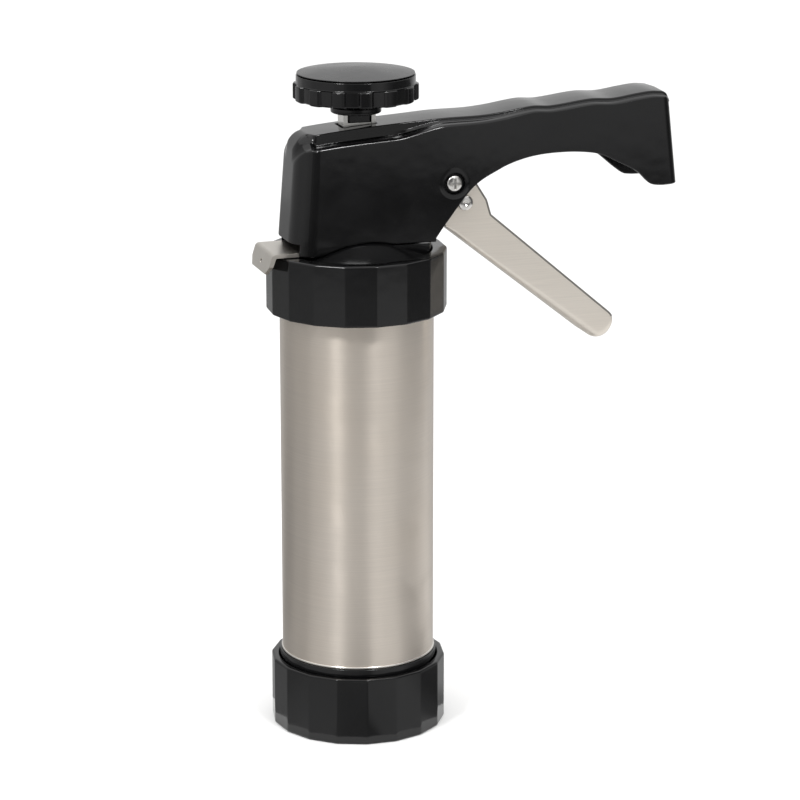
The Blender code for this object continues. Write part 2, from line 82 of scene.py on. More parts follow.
# Rod and knob.
ROD_FOOT, ROD_TOP = 17.2, 204.9
TEETH_FOOT, TEETH_TOP = 32.0, 184.0
TOOTH_PITCH, TOOTH_DEPTH, TOOTH_RISE = 4.0, 0.7, 3.7
KNOB_RADIUS, KNOB_ROOT, KNOB_RIBS = 20.2, 19.2, 14
KNOB_FOOT, KNOB_TOP = 207.5, 217.5
CAP_RADIUS, CAP_TOP = 18.9, 220.0

# The camera's place and turn, in metres and degrees, round the barrel's axis.
VIEW_AZIMUTH = math.radians(-17.0)
CAMERA_DISTANCE, CAMERA_HEIGHT = 1.002, 0.385
CAMERA_TILT, CAMERA_TURN, CAMERA_LENS = 74.63, -17.806, 142.6


def place(point):
    """A point of the design, in millimetres, as metres in the shared frame."""
    return ((point[0] + AXIS_X) * MM, point[1] * MM, point[2] * MM)


# ------------------------------------------------------------------ mesh helpers

def build_mesh(name, shape, material=None):
    """A clean, smooth-shaded mesh from a shape, which is (points, faces)."""
    points, faces = shape
    mesh = bpy.data.meshes.new(name)
    mesh.from_pydata([place(p) for p in points], [], faces)
    work = bmesh.new()
    work.from_mesh(mesh)
    bmesh.ops.remove_doubles(work, verts=work.verts, dist=1e-7)
    bmesh.ops.dissolve_degenerate(work, edges=work.edges, dist=1e-7)
    bmesh.ops.recalc_face_normals(work, faces=work.faces)
    work.to_mesh(mesh)
    work.free()
    if material:
        mesh.materials.append(material)
    mesh.shade_smooth()
    return mesh


def link(name, mesh):
    piece = bpy.data.objects.new(name, mesh)
    bpy.context.scene.collection.objects.link(piece)
    return piece


def apply_modifiers(piece):
    graph = bpy.context.evaluated_depsgraph_get()
    mesh = bpy.data.meshes.new_from_object(piece.evaluated_get(graph))
    piece.modifiers.clear()
    piece.data = mesh


def carve(piece, steps):
    """Cut shapes from a piece or join them on. Each step is ('DIFFERENCE' or 'UNION', shape)."""
    tools = []
    for k, (operation, shape) in enumerate(steps):
        tool = link(f"tool_{k}", build_mesh("tool", shape))
        tools.append(tool)
        step = piece.modifiers.new(f"step_{k}", 'BOOLEAN')
        step.operation = operation
        step.solver = 'EXACT'
        step.object = tool
    apply_modifiers(piece)
    for tool in tools:
        bpy.data.objects.remove(tool, do_unlink=True)


def bevel(piece, width, segments=3, angle=40.0):
    step = piece.modifiers.new("edges", 'BEVEL')
    step.width = width * MM
    step.segments = segments
    step.limit_method = 'ANGLE'
    step.angle_limit = math.radians(angle)
    step.use_clamp_overlap = True
    apply_modifiers(piece)


def finish_piece(piece, body, nodes=(), sharp=40.0):
    """Shade a piece and hang it on its body, in place of its CAD nodes."""
    piece.data.shade_smooth()
    piece.data.set_sharp_from_angle(angle=math.radians(sharp))
    step = piece.modifiers.new("weighted", 'WEIGHTED_NORMAL')
    step.mode = 'FACE_AREA'
    step.weight = 50
    step.keep_sharp = True
    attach(piece, body)
    if nodes:
        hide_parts(*nodes)


def add(name, shape, material, body, nodes=(), sharp=40.0):
    finish_piece(link(name, build_mesh(name, shape, material)), body, nodes, sharp)


# ------------------------------------------------------------------ outlines

def bend_points(before, corner, after, radius, steps):
    """Points of a rounded corner, always steps + 1 of them."""
    corner = Vector(corner)
    u, w = Vector(before) - corner, Vector(after) - corner
    if radius <= 0 or u.length < 1e-9 or w.length < 1e-9:
        return [tuple(corner)] * (steps + 1)
    turn = math.pi - u.angle(w)
    reach = min(radius * math.tan(turn / 2), 0.49 * u.length, 0.49 * w.length)
    pull = 1 - (4 / 3) * math.tan(turn / 4) / max(math.tan(turn / 2), 1e-9)
    a, d = corner + u.normalized() * reach, corner + w.normalized() * reach
    b, c = corner + u.normalized() * reach * pull, corner + w.normalized() * reach * pull
    points = []
    for k in range(steps + 1):
        t = k / steps
        s = 1 - t
        points.append(tuple(a * s ** 3 + b * 3 * s * s * t + c * 3 * s * t * t + d * t ** 3))
    return points


def rounded(corners, steps=4):
    """A closed outline of (a, b, radius, ...) corners with each corner rounded; extra values are kept."""
    outline = []
    count = len(corners)
    for k, corner in enumerate(corners):
        extra = tuple(corner[3:])
        if corner[2] <= 0:
            outline.append(tuple(corner[:2]) + extra)
            continue
        near = bend_points(corners[k - 1][:2], corner[:2], corners[(k + 1) % count][:2], corner[2], steps)
        outline += [p + extra for p in near]
    return outline


def on_circle(center, radius, angle):
    """The point of a circle at an angle in degrees."""
    a = math.radians(angle)
    return center[0] + radius * math.cos(a), center[1] + radius * math.sin(a)


def arc(center, radius, start, end, steps):
    """Points of an arc, from one angle to another in degrees."""
    return [on_circle(center, radius, start + (end - start) * k / steps) for k in range(steps + 1)]


def smooth(x, start, end):
    """0 before start, 1 after end, and an even rise between them."""
    t = min(max((x - start) / (end - start), 0.0), 1.0)
    return t * t * (3 - 2 * t)


def mix(a, b, share):
    return a + (b - a) * share


def curve_at(line, x):
    """Height of a smooth line through the given points (Catmull-Rom)."""
    x = min(max(x, line[0][0]), line[-1][0])
    k = max(i for i in range(len(line) - 1) if line[i][0] <= x)
    p = [line[max(0, min(len(line) - 1, k + d))] for d in (-1, 0, 1, 2)]
    span = p[2][0] - p[1][0]
    t = (x - p[1][0]) / span
    rise_a = (p[2][1] - p[0][1]) / (p[2][0] - p[0][0]) * span
    rise_b = (p[3][1] - p[1][1]) / (p[3][0] - p[1][0]) * span
    return ((2 * t ** 3 - 3 * t ** 2 + 1) * p[1][1] + (t ** 3 - 2 * t ** 2 + t) * rise_a
            + (3 * t ** 2 - 2 * t ** 3) * p[2][1] + (t ** 3 - t ** 2) * rise_b)


# ------------------------------------------------------------------ solids

def circle(sides):
    """A round plan as (angle, factor) pairs."""
    return [(360.0 * k / sides, 1.0) for k in range(sides)]


def plan_of(corners, steps, size):
    """A plan as (angle, factor) pairs, from rounded corners given in millimetres."""
    plan = []
    for x, y in rounded(corners, steps):
        plan.append((math.degrees(math.atan2(y, x)), math.hypot(x, y) / size))
    return plan


def flat_plan(radius, count, phase, corner_radius):
    """A regular polygon with slightly rounded corners and three points along each flat."""
    corners = []
    for k in range(count):
        a, b = (math.radians(phase + (k + j) * 360.0 / count) for j in (0, 1))
        start = Vector((math.cos(a), math.sin(a))) * radius
        end = Vector((math.cos(b), math.sin(b))) * radius
        corners.append((*start, corner_radius))
        corners += [(*(start + (end - start) * t), 0.0) for t in (0.16, 0.33, 0.5, 0.67, 0.84)]
    return plan_of(corners, 4, radius)


def rib_plan(tip, root, count, phase):
    """The knob's ribbed edge: flat-topped teeth with slanted sides."""
    step = 360.0 / count
    corners = []
    for k in range(count):
        middle = phase + k * step
        for angle, radius, bend in ((-7.4, root, 0.3), (-5.1, tip, 0.55), (0.0, tip + 0.04, 0.0),
                                    (5.1, tip, 0.55), (7.4, root, 0.3), (10.1, root, 0.0),
                                    (12.86, root, 0.0), (15.6, root, 0.0)):
            a = math.radians(middle + angle)
            corners.append((radius * math.cos(a), radius * math.sin(a), bend))
    return plan_of(corners, 3, tip)


def lathe(profile, plan=None, sides=144):
    """Turn a closed (r, z, shaped) outline round Z; shaped points follow the plan, others a circle."""
    plan = plan or circle(sides)
    points, rings = [], []
    for entry in profile:
        radius, height = entry[0], entry[1]
        shaped = len(entry) > 2 and entry[2]
        if radius < 1e-6:
            rings.append([len(points)])
            points.append((0.0, 0.0, height))
            continue
        rings.append(list(range(len(points), len(points) + len(plan))))
        for angle, factor in plan:
            r = radius * (factor if shaped else 1.0)
            points.append((r * math.cos(math.radians(angle)), r * math.sin(math.radians(angle)), height))
    faces = []
    for a, b in zip(rings, rings[1:] + rings[:1]):
        for k in range(len(plan)):
            n = (k + 1) % len(plan)
            if len(a) == 1 and len(b) == 1:
                break
            if len(a) == 1:
                faces.append((a[0], b[n], b[k]))
            elif len(b) == 1:
                faces.append((a[k], a[n], b[0]))
            else:
                faces.append((a[k], a[n], b[n], b[k]))
    return points, faces


def prism(outline, low, high, axis='Y'):
    """Extrude an outline: (x, z) along Y, (x, y) along Z, or (y, z) along X."""
    order = {'Y': (0, 2, 1), 'Z': (0, 1, 2), 'X': (2, 0, 1)}[axis]
    count = len(outline)
    points = [tuple((a, b, h)[k] for k in order) for h in (low, high) for a, b in outline]
    faces = [tuple(range(count)), tuple(reversed(range(count, 2 * count)))]
    faces += [(k, (k + 1) % count, (k + 1) % count + count, k + count) for k in range(count)]
    return points, faces


def box(low, high):
    """A block between two opposite corners."""
    outline = [(low[0], low[1]), (high[0], low[1]), (high[0], high[1]), (low[0], high[1])]
    return prism(outline, low[2], high[2], 'Z')


def slab(x, y, z, radius):
    """A block with its four upright edges rounded; x, y and z are (low, high) pairs."""
    outline = rounded([(a, b, radius) for a, b in ((x[0], y[0]), (x[1], y[0]), (x[1], y[1]), (x[0], y[1]))])
    return prism(outline, z[0], z[1], 'Z')


def across(shape, x, z):
    """Turn a lathed shape so that its axis lies along Y through (x, z); its +Z goes to -Y."""
    points, faces = shape
    return [(p[0] + x, -p[2], p[1] + z) for p in points], faces


def rod_y(radius, x, z, low, high):
    """A round rod along Y."""
    return across(lathe([(0, -high), (radius, -high), (radius, -low), (0, -low)], sides=64), x, z)


# ------------------------------------------------------------------ materials

class Nodes:
    """Makes a material's nodes and links. A value can be a number, a colour or another node's output."""

    def __init__(self, name):
        self.material = bpy.data.materials.new(name)
        self.material.use_nodes = True
        self.tree = self.material.node_tree
        self.shader = self.tree.nodes["Principled BSDF"]
        self.place = self.tree.nodes.new('ShaderNodeTexCoord').outputs['Object']

    def put(self, socket, value):
        if isinstance(value, bpy.types.NodeSocket):
            self.tree.links.new(value, socket)
        else:
            socket.default_value = value

    def mapping(self, scale, rotation=(0.0, 0.0, 0.0)):
        node = self.tree.nodes.new('ShaderNodeMapping')
        node.inputs['Rotation'].default_value = rotation
        node.inputs['Scale'].default_value = scale
        self.put(node.inputs['Vector'], self.place)
        return node.outputs['Vector']

    def noise(self, vector, scale, detail=3.0, rough=0.5, distortion=0.0):
        node = self.tree.nodes.new('ShaderNodeTexNoise')
        self.put(node.inputs['Vector'], vector)
        node.inputs['Scale'].default_value = scale
        node.inputs['Detail'].default_value = detail
        node.inputs['Roughness'].default_value = rough
        node.inputs['Distortion'].default_value = distortion
        return node.outputs['Fac']

    def span(self, value, low, high, to_low, to_high):
        node = self.tree.nodes.new('ShaderNodeMapRange')
        self.put(node.inputs['Value'], value)
        for name, number in (('From Min', low), ('From Max', high), ('To Min', to_low), ('To Max', to_high)):
            node.inputs[name].default_value = number
        return node.outputs['Result']

    def math(self, operation, a, b):
        node = self.tree.nodes.new('ShaderNodeMath')
        node.operation = operation
        self.put(node.inputs[0], a)
        self.put(node.inputs[1], b)
        return node.outputs[0]

    def blend(self, share, a, b):
        node = self.tree.nodes.new('ShaderNodeMix')
        node.data_type = 'RGBA'
        self.put(node.inputs['Factor'], share)
        self.put(node.inputs['A'], a)
        self.put(node.inputs['B'], b)
        return node.outputs['Result']

    def bump(self, height, distance, normal=None):
        node = self.tree.nodes.new('ShaderNodeBump')
        node.inputs['Distance'].default_value = distance
        self.put(node.inputs['Height'], height)
        if normal is not None:
            self.put(node.inputs['Normal'], normal)
        return node.outputs['Normal']

    def set(self, **values):
        for name, value in values.items():
            self.put(self.shader.inputs[name.replace('_', ' ')], value)
        return self.material


def scratches(nodes, scale, angle, amount):
    """A mask of fine straight scratches, from a stretched noise kept only where it peaks."""
    lines = nodes.noise(nodes.mapping((scale, scale * 0.02, scale), (angle, angle * 0.7, angle)), 1.0, 2.0)
    patches = nodes.noise(nodes.place, 45.0, 2.0)
    peak = nodes.span(lines, 0.66, 0.72, 0.0, 1.0)
    return nodes.math('MULTIPLY', peak, nodes.span(patches, 0.5, 0.62, 0.0, amount))


def plastic(name, base, roughness, ior, grain=0.00002):
    nodes = Nodes(name)
    cloud = nodes.noise(nodes.place, 70.0, 3.0)
    fine = nodes.noise(nodes.place, 900.0, 2.0)
    wear = nodes.math('MAXIMUM', scratches(nodes, 1500.0, 0.5, 1.0), scratches(nodes, 1700.0, -0.9, 1.0))
    dark = tuple(c * 0.86 for c in base) + (1.0,)
    light = tuple(c * 1.14 for c in base) + (1.0,)
    colour = nodes.blend(nodes.span(cloud, 0.35, 0.65, 0.0, 1.0), dark, light)
    rough = nodes.math('ADD', nodes.span(cloud, 0.3, 0.7, roughness * 0.85, roughness * 1.2),
                       nodes.math('MULTIPLY', wear, 0.10))
    waves = nodes.bump(nodes.noise(nodes.place, 160.0, 1.0), grain * 2.2)
    normal = nodes.bump(fine, grain * 0.12, normal=waves)
    return nodes.set(Base_Color=colour, Roughness=rough, IOR=ior, Normal=normal)


def metal(name, base, roughness, stretch, rotation=(0.0, 0.0, 0.0), streak=0.04, anisotropic=0.0,
          relief=0.000004, radial=False, metallic=1.0):
    """Brushed metal. The noise is stretched so that its lines run along the brushing."""
    nodes = Nodes(name)
    lines = nodes.noise(nodes.mapping(stretch, rotation), 1.0, 4.0, 0.6)
    cloud = nodes.noise(nodes.place, 28.0, 3.0)
    smudge = nodes.noise(nodes.place, 75.0, 4.0, 0.6, 0.6)
    dark = tuple(c * (1 - streak * 2) for c in base) + (1.0,)
    light = tuple(min(1.0, c * (1 + streak)) for c in base) + (1.0,)
    colour = nodes.blend(nodes.span(lines, 0.3, 0.7, 0.0, 1.0), dark, light)
    stained = tuple(c * s for c, s in zip(base, (0.95, 0.93, 0.90))) + (1.0,)
    colour = nodes.blend(nodes.span(cloud, 0.5, 0.75, 0.0, 0.5), colour, stained)
    rough = nodes.math('ADD', nodes.span(lines, 0.3, 0.7, roughness * 0.88, roughness * 1.12),
                       nodes.span(smudge, 0.5, 0.8, 0.0, roughness * 0.25))
    normal = nodes.bump(lines, relief)
    nodes.set(Base_Color=colour, Metallic=metallic, Roughness=rough, Normal=normal, Anisotropic=anisotropic)
    if radial:
        tangent = nodes.tree.nodes.new('ShaderNodeTangent')
        tangent.direction_type = 'RADIAL'
        tangent.axis = 'Z'
        nodes.put(nodes.shader.inputs['Tangent'], tangent.outputs['Tangent'])
        nodes.put(nodes.shader.inputs['Anisotropic Rotation'], 0.25)
    return nodes.material


def rubber_material(name, base, roughness):
    nodes = Nodes(name)
    cloud = nodes.noise(nodes.place, 120.0, 4.0)
    colour = nodes.blend(nodes.span(cloud, 0.35, 0.65, 0.0, 1.0), tuple(c * 0.8 for c in base) + (1.0,),
                         tuple(c * 1.2 for c in base) + (1.0,))
    rough = nodes.span(cloud, 0.3, 0.7, roughness * 0.9, roughness * 1.1)
    normal = nodes.bump(nodes.noise(nodes.place, 1500.0, 2.0), 0.00002)
    return nodes.set(Base_Color=colour, Roughness=rough, Normal=normal)


GLOSS = plastic("gloss_black_plastic", (0.0032, 0.0032, 0.0034), 0.12, 1.46)
SATIN = plastic("satin_black_plastic", (0.011, 0.011, 0.0115), 0.27, 1.5, 0.00003)
TUBE = metal("barrel_brushed_steel", (0.80, 0.73, 0.65), 0.36, (40.0, 40.0, 5200.0), streak=0.03,
             anisotropic=0.9, relief=0.0000015, radial=True)
BEAD = metal("rolled_bright_edge", (0.86, 0.83, 0.78), 0.16, (300.0, 300.0, 2600.0), streak=0.02)
SHEET = metal("satin_sheet_steel", (0.85, 0.79, 0.71), 0.34, (60.0, 500.0, 2600.0), (0.0, -0.689, 0.0),
              streak=0.025, relief=0.000003, metallic=0.88)
# The burrs' steel is painted dark. This is painted shade for the dark line along the lever's rounded edges.
EDGE_PAINTED_SHADE = metal("edge_steel_painted_shade", (0.34, 0.32, 0.30), 0.45, (900.0, 900.0, 900.0), streak=0.06)
BRIGHT = metal("bright_steel", (0.78, 0.765, 0.74), 0.16, (700.0, 700.0, 700.0), streak=0.02)
ROD = metal("rod_bright_steel", (0.76, 0.75, 0.72), 0.20, (1800.0, 1800.0, 60.0), streak=0.04)
PLATE = metal("inner_plate_steel", (0.62, 0.59, 0.54), 0.34, (90.0, 1900.0, 1900.0), streak=0.04)
RUBBER = rubber_material("seal_rubber_dull", (0.03, 0.03, 0.031), 0.72)


# ------------------------------------------------------------------ barrel, rings and collars

TUBE_SIDES = 256

tube_profile = rounded([
    (TUBE_BORE, TUBE_FOOT, 0.1), (TUBE_RADIUS, TUBE_FOOT, 0.1), (TUBE_RADIUS, LOWER_RING_TOP + 0.1, 0.0),
    (TUBE_RADIUS, TUBE_TOP, 0.1), (TUBE_BORE, TUBE_TOP, 0.1)], 2)
add("tube", lathe(tube_profile, sides=TUBE_SIDES), TUBE, "barrel", ["barrel_tube"])
bead_root = TUBE_RADIUS - 0.05
for bead_name, bead_foot in (("tube_lower_bead", LOWER_RING_TOP),
                             ("tube_upper_bead", UPPER_COLLAR_FOOT - 0.85)):
    bead_profile = [(bead_root, bead_foot)]
    bead_profile += arc((TUBE_RADIUS + 0.02, bead_foot + BEAD_RADIUS), BEAD_RADIUS, -80, 80, 8)
    bead_profile.append((bead_root, bead_foot + 2 * BEAD_RADIUS))
    add(bead_name, lathe(bead_profile, sides=TUBE_SIDES), BEAD, "barrel")

lower_ring = rounded([
    (RING_BORE, TUBE_FOOT, 0.1), (LOWER_RING_RADIUS, TUBE_FOOT, 0.1),
    (LOWER_RING_RADIUS, LOWER_RING_TOP, 0.28), (RING_BORE, LOWER_RING_TOP, 0.15)])
add("lower_ring", lathe(lower_ring), GLOSS, "barrel", ["bottom_thread_ring"])
upper_ring = rounded([
    (RING_BORE, UPPER_RING_FOOT, 0.15), (UPPER_RING_RADIUS, UPPER_RING_FOOT, 0.3),
    (UPPER_RING_RADIUS, TUBE_TOP, 0.3), (RING_BORE, TUBE_TOP, 0.15)])
add("upper_ring", lathe(upper_ring), GLOSS, "barrel", ["top_thread_ring"])

# The collars are faceted outside and round inside; their lips reach in over the die and the base.
lower_lip, lower_lip_top = 21.0, 2.2
lower_collar = rounded([
    (lower_lip, 0.0, 0.4, False), (LOWER_COLLAR_RADIUS, 0.0, 0.8, True),
    (LOWER_COLLAR_RADIUS, LOWER_COLLAR_TOP, 0.75, True), (LOWER_COLLAR_BORE, LOWER_COLLAR_TOP, 0.5, False),
    (LOWER_COLLAR_BORE, lower_lip_top, 0.2, False), (lower_lip, lower_lip_top, 0.4, False)])
add("lower_collar", lathe(lower_collar, flat_plan(LOWER_COLLAR_RADIUS, COLLAR_FLATS, -1.0, COLLAR_EDGE)),
    GLOSS, "bottom_collar", ["bottom_collar"], 25)
upper_lip, upper_lip_foot = 24.6, 158.9
upper_collar = rounded([
    (UPPER_COLLAR_BORE, UPPER_COLLAR_FOOT, 0.3, False), (UPPER_COLLAR_RADIUS, UPPER_COLLAR_FOOT, 0.7, True),
    (UPPER_COLLAR_RADIUS, UPPER_COLLAR_TOP, 0.8, True), (upper_lip, UPPER_COLLAR_TOP, 0.5, False),
    (upper_lip, upper_lip_foot, 0.2, False), (UPPER_COLLAR_BORE, upper_lip_foot, 0.2, False)])
add("upper_collar", lathe(upper_collar, flat_plan(UPPER_COLLAR_RADIUS, COLLAR_FLATS, 6.0, COLLAR_EDGE)),
    GLOSS, "top_collar", ["top_collar"], 25)

die_slot = rounded([(-16.0, -2.5, 2.5), (16.0, -2.5, 2.5), (16.0, 2.5, 2.5), (-16.0, 2.5, 2.5)], 8)
die = link("die_plate", build_mesh("die_plate", lathe(rounded([
    (0, 2.5, 0.0), (25.6, 2.5, 0.2), (25.6, 4.0, 0.2), (0, 4.0, 0.0)], 3)), PLATE))
carve(die, [('DIFFERENCE', prism(die_slot, 0.0, 8.0, 'Z'))])
bevel(die, 0.15, 2)
finish_piece(die, "die_set", ["die_disc"])


# ------------------------------------------------------------------ head

# Height of the base's dome by its radius, and heights of the housing's edges by x.
DOME = [(-8.0, 165.7), (0.0, 166.0), (8.0, 165.7), (13.0, 164.5), (16.0, 163.0), (20.0, 161.0),
        (24.3, 159.2)]
TOP_LINE = [(-30, 198.8), (-17, 200.0), (0, 201.5), (16, 202.6), (27, 203.3), (39, 203.5), (46, 204.1),
            (57, 205.6), (63.5, 205.4), (77, 206.9), (85, 206.7), (95, 207.8), (102, 208.3), (109, 207.6)]
LOWER_LINE = [(22.9, 164.8), (26, 169.1), (35.8, 180.7), (45.2, 186.0), (50.6, 188.0), (57, 189.4),
              (64.5, 190.0), (72.7, 189.8), (80.0, 188.6), (87.0, 185.4), (93.4, 182.0), (98.4, 177.5),
              (109, 177.4)]
FAR_LINE = LOWER_LINE[:8] + [(79.6, 188.5), (86.6, 185.0), (93.0, 179.8), (96.6, 177.5), (109, 177.4)]
# How far the front and the end lean with height, and the radii of the housing's outer corners.
FRONT_LEAN, END_LEAN = 0.076, 0.111
FRONT_ROLL, END_ROLL = 5.2, 2.2
FRONT_CORNER, END_CORNER = 8.0, 3.0


def corner_loss(distance, radius):
    """What a round corner takes off a height or a width, this far from the end face."""
    reach = min(max(0.0, radius - distance), radius)
    return radius - math.sqrt(max(0.0, radius ** 2 - reach ** 2))


def half_width(x, inset):
    """Half the housing's width at x; inset is 0 for its outside and the wall for its inside."""
    half = mix(HEAD_HALF, HANDLE_HALF, smooth(x, *NARROWING)) - inset
    half -= corner_loss(x - (HEAD_FRONT + inset), FRONT_CORNER - inset * 0.5)
    return half - corner_loss((HEAD_END - inset) - x, END_CORNER - inset * 0.5)


def top_height(x, inset):
    """Height of the housing's top along its middle at x."""
    top = curve_at(TOP_LINE, x) - inset - corner_loss(x - (HEAD_FRONT + inset), FRONT_ROLL - inset * 0.5)
    return top - corner_loss((HEAD_END - inset) - x, END_ROLL - inset * 0.5)


def lower_height(x, y, line):
    """Lower edge of the housing: over the release plate, over the base, then along the handle's line."""
    if x > line[0][0]:
        return curve_at(line, x)
    if half_width(x, 0.0) < PLATE_ROOM:
        return FRONT_FOOT
    r = math.hypot(x, y)
    low = WALL_FOOT if r > 19.8 else curve_at(DOME, r) + CLEARANCE
    return max(low, mix(WALL_FOOT, PAD_TOP + CLEARANCE, smooth(x, 2.0, 9.0)))


def head_half_loop(x_out, x_in, line):
    """Half of the housing's section: inner top centre, inner side, rim, outer side, outer top centre.
    Returns (share, y, z): share 1 lies at x_in and 0 at x_out."""
    top, half = top_height(x_out, 0.0), half_width(x_out, 0.0)
    in_top, in_half = top_height(x_in, WALL), half_width(x_in, WALL)
    # The rounded front turns into the head's high step, which turns into the handle's low one.
    front = 1 - smooth(x_out, -20.0, -17.2)
    ledge = smooth(x_out, 9.0, 26.0)
    drop = mix(mix(3.9, 4.1, smooth(x_out, -12, 12)), 1.8, smooth(x_out, 9, 27))
    shoulder = top - drop
    foot_y = min(mix(mix(8.35, 9.5, ledge), half - 1.9, front), half - 0.6)
    edge_y = min(mix(mix(8.0, 8.2, ledge), min(4.6, half * 0.55), front), half - 1.2)
    ledge_y = mix(mix(8.12, 8.65, ledge), mix(foot_y, edge_y, 0.45), front)
    step_y = mix(mix(8.08, 8.35, ledge), mix(foot_y, edge_y, 0.55), front)
    ledge_z = mix(top - mix(2.8, 1.12, ledge), mix(shoulder, top, 0.42), front)
    step_z = mix(top - mix(2.6, 0.95, ledge), mix(shoulder, top, 0.60), front)
    edge_drop = mix(mix(0.1, 0.15, ledge), 0.0, front)
    corners = [
        (0.0, in_top, 0.0, 1.0),
        (in_half, in_top - 2.0, 1.5, 1.0),
        (in_half, lower_height(x_in, in_half, line), 0.45, 1.0),
        (half, lower_height(x_out, half, line), 0.5, 0.0),
        (half - 0.2, shoulder, mix(1.1, 2.4, front), 0.0),
        (foot_y, shoulder + mix(0.3, 0.38, ledge), mix(0.4, 4.0, front), 0.0),
        (ledge_y, ledge_z, mix(0.45, 3.0, front), 0.0),
        (step_y, step_z, mix(0.3, 3.0, front), 0.0),
        (edge_y, top - edge_drop, mix(mix(0.4, 0.6, ledge), 6.0, front), 0.0),
        (0.0, top + 0.22 * ledge, 0.0, 0.0)]
    loop = []
    for k, (y, z, radius, share) in enumerate(corners):
        if k in (0, len(corners) - 1):
            loop.append((share, y, z))
            continue
        for p in bend_points(corners[k - 1][:2], (y, z), corners[k + 1][:2], radius, 5):
            loop.append((share, p[0], p[1]))
    return loop


def head_stations():
    """Places along x of the housing's sections, closer together at its ends and steps."""
    xs = [HEAD_FRONT + 8.3 * (1 - math.cos(math.radians(a))) for a in range(0, 91, 5)]
    xs += [-22.03, -21.95, -19.8, -19.2, -18.6, -18.1, -17.7, -17.3, -16.9, -16.0]
    xs += [-15.2 + 0.9 * k for k in range(int((HEAD_END - 3.2 + 15.2) / 0.9))]
    xs += [22.88, 22.93, 98.1, 98.2]
    xs += [HEAD_END - 3.0 * (1 - math.cos(math.radians(a))) for a in range(0, 91, 9)]
    kept = []
    for x in sorted(xs):
        if not kept or x - kept[-1] > 0.02:
            kept.append(x)
    kept[0], kept[-1] = HEAD_FRONT, HEAD_END
    return kept


def inner_x(x):
    """Where along x the inside of the section at x lies, so that the end walls keep their thickness."""
    if x < HEAD_FRONT + 12:
        return HEAD_FRONT + WALL + (x - HEAD_FRONT) * (12 - WALL) / 12
    if x > HEAD_END - 8:
        return HEAD_END - WALL - (HEAD_END - x) * (8 - WALL) / 8
    return x


def lean(x, z):
    """Shift along x that tilts the front back and the end forward."""
    shift = FRONT_LEAN * (z - 165) * (1 - smooth(x, HEAD_FRONT, -8))
    return shift - END_LEAN * (z - 177.5) * smooth(x, 80, HEAD_END)


def head_shape():
    """The hollow housing and handle; the near and the far wall end on lines of their own."""
    points, loops = [], []
    for x in head_stations():
        near, far = [], []
        for line, side in ((LOWER_LINE, near), (FAR_LINE, far)):
            for share, y, z in head_half_loop(x, inner_x(x), line):
                at = mix(x, inner_x(x), share)
                side.append((at + lean(at, z), y, z))
        full = far + [(p[0], -p[1], p[2]) for p in reversed(near[1:-1])]
        loops.append(list(range(len(points), len(points) + len(full))))
        points += full
    count, last = len(loops[0]), len(far) - 1
    faces = []
    for a, b in zip(loops, loops[1:]):
        faces += [(a[k], a[(k + 1) % count], b[(k + 1) % count], b[k]) for k in range(count)]
    for loop in (loops[0], loops[-1]):
        faces.append((loop[0], loop[1], loop[-1]))
        faces += [(loop[k], loop[k + 1], loop[-k - 1], loop[-k]) for k in range(1, last - 1)]
        faces.append((loop[last - 1], loop[last], loop[1 - last]))
    return points, faces


housing = link("housing", build_mesh("housing", head_shape(), GLOSS))
boss = across(lathe([(3.4, 12.0), (5.3, 12.0), (5.2, 12.9), (4.7, 13.1), (4.1, 13.2), (3.4, 13.2)],
                    sides=96), *PIVOT)
recess = across(lathe([(0, 12.0), (3.2, 12.0), (3.45, 12.3), (3.5, 13.1), (3.75, 13.45), (3.75, 15.0),
                       (0, 15.0)], sides=96), *PIVOT)
far_recess = across(lathe([(0, -15.0), (3.9, -15.0), (3.6, -13.0), (3.5, -12.0), (0, -12.0)], sides=96),
                    *PIVOT)
plate_slot = box((-27.0, -10.5, 160.0), (-14.0, 10.5, FRONT_FOOT - 0.05))
carve(housing, [
    ('UNION', boss), ('DIFFERENCE', recess), ('DIFFERENCE', far_recess),
    ('DIFFERENCE', rod_y(PIVOT_HOLE, *PIVOT, -20, 20)),
    ('DIFFERENCE', plate_slot),
    ('DIFFERENCE', slab(*ROD_HOLE, (185.0, 215.0), 0.6))])
finish_piece(housing, "head", ["head_housing"], 32)

dome_outline = [(0, 156.3), (26.1, 156.3), (26.2, 156.4), (26.2, 158.35), (26.05, 158.5), (24.45, 158.5)]
dome_outline += [(r, curve_at(DOME, r)) for r in [24.25 - 1.35 * k for k in range(18)]] + [(0, 166.0)]
base = link("head_dome", build_mesh("head_dome", lathe(dome_outline), GLOSS))
pad_radius, pad_angle, pad_back, pad_half = 24.2, 31.0, 7.5, 12.46
pad = arc((0.0, 0.0), pad_radius, -pad_angle, pad_angle, 20) + [(pad_back, pad_half), (pad_back, -pad_half)]
plate_room = box((-30, -PLATE_ROOM, 160.6), (17.5, PLATE_ROOM, 170))
carve(base, [('UNION', prism(pad, 157.0, PAD_TOP, 'Z')),
             ('DIFFERENCE', plate_room),
             ('DIFFERENCE', slab(*ROD_HOLE, (150, 170), 0.6))])
finish_piece(base, "head", ["head_base"], 32)

